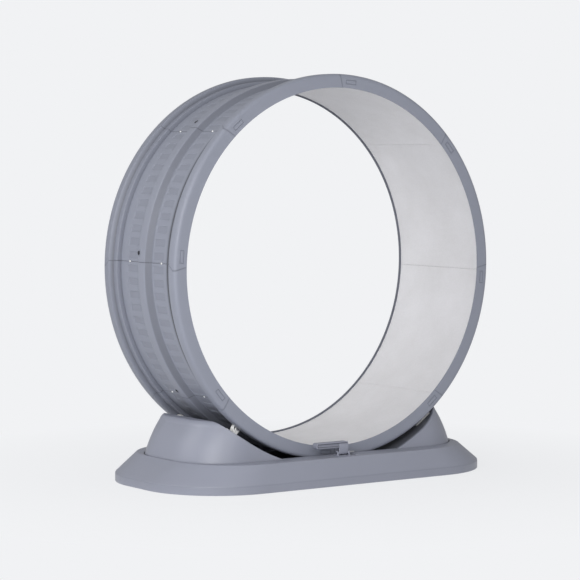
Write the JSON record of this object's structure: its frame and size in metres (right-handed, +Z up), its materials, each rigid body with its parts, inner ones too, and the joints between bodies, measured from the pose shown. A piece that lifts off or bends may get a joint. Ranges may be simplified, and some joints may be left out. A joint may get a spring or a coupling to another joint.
{
  "type": "cat exercise wheel",
  "caption": "Free-standing running wheel for a cat: a matted drum of bolted arc segments on rollers in a moulded base with a latch.",
  "frame": {"origin": "on the floor under the middle of the base", "axes": "+X to the right of someone facing the latch, front towards -Y, +Z up; the drum turns about an axis along Y"},
  "size_m": [0.91, 0.474, 0.95],
  "materials": {
    "drum_plastic": "satin moulded grey-blue plastic",
    "base_plastic": "satin moulded grey-blue plastic",
    "latch_plastic": "satin moulded grey-blue plastic",
    "mat": "pale short-pile running mat",
    "roller_plastic": "smooth white nylon",
    "cradle_plastic": "satin white plastic",
    "bearing_steel": "ground steel",
    "steel": "zinc-plated steel",
    "rubber_feet": "black rubber"
  },
  "bodies": {
    "base": {"axle_left_front": "steel", "axle_left_rear": "steel", "axle_right_front": "steel", "axle_right_rear": "steel", "base_floor": "base_plastic", "base_screws": "steel", "base_shell": "base_plastic", "cradle_left_front": "cradle_plastic", "cradle_left_rear": "cradle_plastic", "cradle_right_front": "cradle_plastic", "cradle_right_rear": "cradle_plastic", "cradle_screws": "steel", "latch_mount": "latch_plastic", "latch_pin": "steel", "latch_screws": "steel", "rubber_feet": "rubber_feet"},
    "wheel": {"running_mat_1": "mat", "running_mat_2": "mat", "running_mat_3": "mat", "running_mat_4": "mat", "running_mat_5": "mat", "running_mat_6": "mat", "running_mat_7": "mat", "running_mat_8": "mat", "segment_screws": "steel", "wheel_segment_1": "drum_plastic", "wheel_segment_2": "drum_plastic", "wheel_segment_3": "drum_plastic", "wheel_segment_4": "drum_plastic", "wheel_segment_5": "drum_plastic", "wheel_segment_6": "drum_plastic", "wheel_segment_7": "drum_plastic", "wheel_segment_8": "drum_plastic"},
    "latch": {"latch_lever": "latch_plastic"},
    "roller_left_front": {"roller_left_front": "roller_plastic", "bearing_left_front": "bearing_steel"},
    "roller_left_rear": {"roller_left_rear": "roller_plastic", "bearing_left_rear": "bearing_steel"},
    "roller_right_front": {"roller_right_front": "roller_plastic", "bearing_right_front": "bearing_steel"},
    "roller_right_rear": {"roller_right_rear": "roller_plastic", "bearing_right_rear": "bearing_steel"}
  },
  "joints": [
    {"name": "wheel_spin", "type": "hinge", "parent": "base", "child": "wheel", "pos_m": [0, 0, 0.5], "axis": [0, -1, 0], "continuous": true},
    {"name": "roller_spin_left_front", "type": "hinge", "parent": "base", "child": "roller_left_front", "pos_m": [-0.26439, -0.12, 0.1361], "axis": [0, -1, 0], "continuous": true},
    {"name": "roller_spin_left_rear", "type": "hinge", "parent": "base", "child": "roller_left_rear", "pos_m": [-0.26439, 0.12, 0.1361], "axis": [0, -1, 0], "continuous": true},
    {"name": "roller_spin_right_front", "type": "hinge", "parent": "base", "child": "roller_right_front", "pos_m": [0.26439, -0.12, 0.1361], "axis": [0, -1, 0], "continuous": true},
    {"name": "roller_spin_right_rear", "type": "hinge", "parent": "base", "child": "roller_right_rear", "pos_m": [0.26439, 0.12, 0.1361], "axis": [0, -1, 0], "continuous": true},
    {"name": "latch_swing", "type": "hinge", "parent": "base", "child": "latch", "pos_m": [-0.0075, -0.194, 0.071], "axis": [1, 0, 0], "range_deg": [0, 85]}
  ],
  "couplings": [
    {"joint": "roller_spin_left_front", "follows": "wheel_spin", "ratio": -41.81},
    {"joint": "roller_spin_left_rear", "follows": "wheel_spin", "ratio": -41.81},
    {"joint": "roller_spin_right_front", "follows": "wheel_spin", "ratio": -41.81},
    {"joint": "roller_spin_right_rear", "follows": "wheel_spin", "ratio": -41.81}
  ]
}
